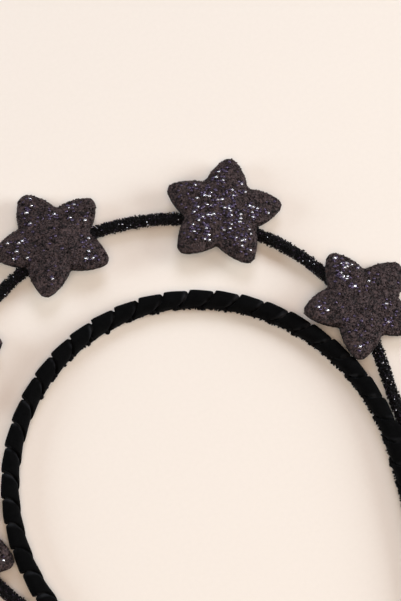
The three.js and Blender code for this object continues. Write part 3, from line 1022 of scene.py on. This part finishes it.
def paint_pile_sheen(material):
    """Paints a grey sheen, a painted highlight, on the velvet in patches where its pile is pressed flat, by
    the seam that each turn dips under.
    """
    nodes, links = material.node_tree.nodes, material.node_tree.links
    place = nodes.new("ShaderNodeTexCoord")
    across = nodes.new("ShaderNodeSeparateXYZ")
    near = nodes.new("ShaderNodeMapRange")
    near.interpolation_type = "SMOOTHSTEP"
    near.inputs["From Min"].default_value = PRESSED_SHEEN_FROM * RIBBON_PITCH
    near.inputs["From Max"].default_value = PRESSED_SHEEN_FULL * RIBBON_PITCH
    patch = nodes.new("ShaderNodeTexNoise")
    patch.inputs["Scale"].default_value = PRESSED_SHEEN_PATCH
    broken = nodes.new("ShaderNodeMapRange")
    broken.inputs["From Min"].default_value = PRESSED_SHEEN_BREAK[0]
    broken.inputs["From Max"].default_value = PRESSED_SHEEN_BREAK[1]
    amount = nodes.new("ShaderNodeMath")
    amount.operation = "MULTIPLY"
    links.new(place.outputs["UV"], across.inputs[0])
    links.new(across.outputs["X"], near.inputs["Value"])
    links.new(place.outputs["Object"], patch.inputs["Vector"])
    links.new(patch.outputs["Fac"], broken.inputs["Value"])
    links.new(near.outputs["Result"], amount.inputs[0])
    links.new(broken.outputs["Result"], amount.inputs[1])
    blend_in(material, amount.outputs[0], PRESSED_PILE_SHEEN)


def paint_wall_shade(material):
    """Darkens the cloth on a star's cut side, where no glitter lies, as painted shade."""
    wall = material.node_tree.nodes.new("ShaderNodeAttribute")
    wall.attribute_name = "wall"
    blend_in(material, wall.outputs["Fac"], WALL_SHADE_GREY)


VELVET = mottled(
    "black_velvet", dark=(0.0016, 0.0016, 0.0017), light=(0.0040, 0.0040, 0.0042),
    patch=400, grain=3200, bump=0.5, depth=0.2,
    Roughness=0.95, Specular_IOR_Level=0.04,
    Sheen_Weight=0.02, Sheen_Roughness=0.45, Sheen_Tint=(0.6, 0.65, 0.75, 1),
)
# Painted sheen where the velvet's pile is pressed flat by the seams
paint_pile_sheen(VELVET)
TUFT = mottled(
    "cut_pile", dark=(0.0022, 0.0022, 0.0025), light=(0.006, 0.006, 0.0065),
    patch=500, grain=4000, bump=0.4, depth=0.1,
    Roughness=0.9, Specular_IOR_Level=0.08,
)
WIRE_BED = mottled(
    "wire_bed", dark=(0.002, 0.002, 0.0023), light=(0.006, 0.006, 0.0065),
    patch=500, grain=2600, bump=0.8, depth=0.3,
    Roughness=0.8, Specular_IOR_Level=0.15,
)
WIRE_GLITTER = chipped(
    "wire_glitter", dark=(0.002, 0.002, 0.0024), middle=(0.020, 0.018, 0.021),
    tint=(0.07, 0.05, 0.08), bright=(0.9, 0.87, 0.93), tint_from=0.93, bright_from=0.985,
    Metallic=0.8,
)
STAR_CLOTH = mottled(
    "glitter_cloth", dark=(0.002, 0.0015, 0.0015), light=(0.083, 0.056, 0.056),
    patch=420, grain=1600, bump=1.0, depth=0.4, spread=0.16,
    Roughness=0.75, Specular_IOR_Level=0.25,
)
# Painted shade on the stars' side walls
paint_wall_shade(STAR_CLOTH)
STAR_GLITTER = chipped(
    "star_glitter", dark=(0.003, 0.002, 0.002), middle=(0.140, 0.098, 0.100),
    tint=(0.125, 0.090, 0.150), bright=(0.98, 0.93, 0.96), tint_from=0.86, bright_from=0.92,
    Metallic=0.85,
)
HOOP_PLASTIC = mottled(
    "hoop_plastic", dark=(0.012, 0.012, 0.013), light=(0.022, 0.022, 0.024),
    patch=120, grain=1800, bump=0.15, depth=0.1,
    Roughness=0.42,
)
PAPER = mottled(
    "pale_paper", dark=(0.905, 0.835, 0.757), light=(0.920, 0.850, 0.772),
    patch=9, grain=700, bump=0.05, depth=0.05,
    Roughness=0.85, Specular_IOR_Level=0.2,
)


# The crown

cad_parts["hoop"].data.materials.clear()
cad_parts["hoop"].data.materials.append(HOOP_PLASTIC)

ribbon = ribbon_piece()
finish_piece(ribbon, VELVET, "velvet_ribbon", "ribbon_wrap")
finish_piece(selvedge_piece(), TUFT, "velvet_ribbon")

wire, wire_cover = wire_line()
finish_piece(wire_core(wire, wire_cover), WIRE_BED, "wire_glitter", "glitter_wire")
finish_piece(wire_flakes(wire, wire_cover), WIRE_GLITTER, "wire_glitter")

pattern = star_pattern()
for number, row in enumerate(STARS):
    pad = star_pad(pattern, row, wire)
    glitter = star_flakes(pad, row, GLITTER_SEED + number)
    finish_piece(pad, STAR_CLOTH, "star_glitter", row[0])
    finish_piece(glitter, STAR_GLITTER, "star_glitter")
bpy.data.objects.remove(pattern)


# The stage

AIM = Vector(CAMERA_AIM) * MM
VIEWPOINT = Vector(CAMERA_PLACE) * MM
LOOK = AIM - VIEWPOINT
VIEW_UP = Vector((LOOK.x, LOOK.y, 0)).normalized()
VIEW_RIGHT = Vector((VIEW_UP.y, -VIEW_UP.x, 0))


def floor_piece():
    bpy.ops.object.select_all(action="DESELECT")
    bpy.ops.mesh.primitive_grid_add(x_subdivisions=FLOOR_PARTS, y_subdivisions=FLOOR_PARTS, size=FLOOR_SIZE)
    paper = bpy.context.object
    paper.name = "paper"
    paper.data.materials.append(PAPER)


def lamp(name, bearing, elevation, size, light_laid):
    """An area light that looks at the camera's aim from a bearing: 0 is the picture's right, 90 its top."""
    turn = math.radians(bearing)
    rise = math.radians(elevation)
    level = VIEW_RIGHT * math.cos(turn) + VIEW_UP * math.sin(turn)
    away = level * math.cos(rise) + Vector((0, 0, math.sin(rise)))
    light = bpy.data.lights.new(name, "AREA")
    light.shape = "DISK"
    light.size = size
    light.energy = max(light_laid) * math.pi ** 2 * LAMP_DISTANCE ** 2 / math.sin(rise)
    light.color = [share / max(light_laid) for share in light_laid]
    obj = bpy.data.objects.new(name, light)
    bpy.context.scene.collection.objects.link(obj)
    obj.location = AIM + away * LAMP_DISTANCE
    obj.rotation_euler = away.to_track_quat("Z", "Y").to_euler()


def studio_walls():
    """A dim room light, and a pale backdrop that is only seen past the paper's edge."""
    world = bpy.data.worlds.new("studio")
    bpy.context.scene.world = world
    world.use_nodes = True
    nodes, links = world.node_tree.nodes, world.node_tree.links
    room = nodes["Background"]
    room.inputs["Color"].default_value = (1, 1, 1, 1)
    room.inputs["Strength"].default_value = ROOM_LIGHT
    backdrop = nodes.new("ShaderNodeBackground")
    backdrop.inputs["Color"].default_value = (*BACKDROP, 1)
    seen = nodes.new("ShaderNodeLightPath")
    either = nodes.new("ShaderNodeMixShader")
    links.new(seen.outputs["Is Camera Ray"], either.inputs[0])
    links.new(room.outputs[0], either.inputs[1])
    links.new(backdrop.outputs[0], either.inputs[2])
    links.new(either.outputs[0], nodes["World Output"].inputs["Surface"])


def photo_camera():
    camera = bpy.data.objects.new("camera", bpy.data.cameras.new("camera"))
    bpy.context.scene.collection.objects.link(camera)
    camera.data.lens = CAMERA_LENS
    camera.data.sensor_width = CAMERA_SENSOR
    camera.location = VIEWPOINT
    camera.rotation_euler = (-LOOK).to_track_quat("Z", "Y").to_euler()
    bpy.context.scene.camera = camera
    bpy.context.scene.view_settings.view_transform = "Standard"


floor_piece()
for lamp_row in LAMPS:
    lamp(*lamp_row)
studio_walls()
photo_camera()
